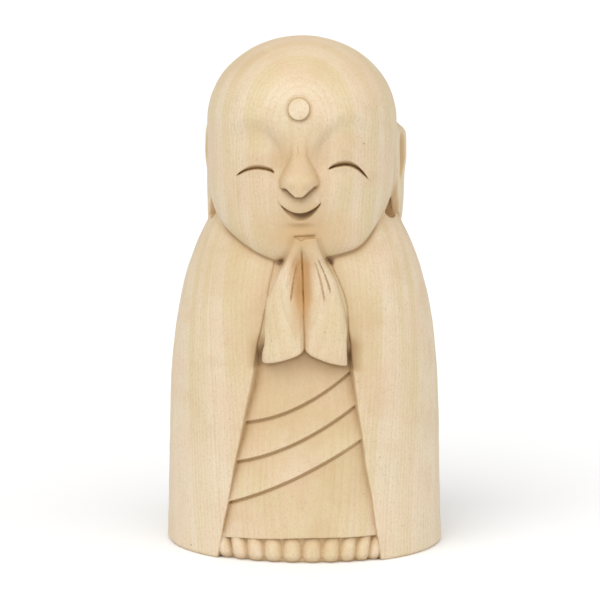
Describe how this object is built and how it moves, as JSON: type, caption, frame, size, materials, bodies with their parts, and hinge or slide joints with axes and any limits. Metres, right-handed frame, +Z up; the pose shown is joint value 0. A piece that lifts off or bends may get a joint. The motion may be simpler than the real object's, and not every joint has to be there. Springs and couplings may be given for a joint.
{
  "type": "wooden praying figure",
  "caption": "Small carved wooden jizo figure, hands together under a long cloak, standing freely on its flat underside as an ornament.",
  "frame": {"origin": "middle of the flat underside, on the surface the figure stands on", "axes": "+Z up through the crown, -Y is where the face looks, +X to the right as seen from the front"},
  "size_m": [0.108, 0.0858, 0.198],
  "materials": {
    "carved_wood": "hand-rubbed pale unvarnished wood, satin"
  },
  "bodies": {
    "root": {"jizo_figure": "carved_wood"}
  },
  "joints": []
}
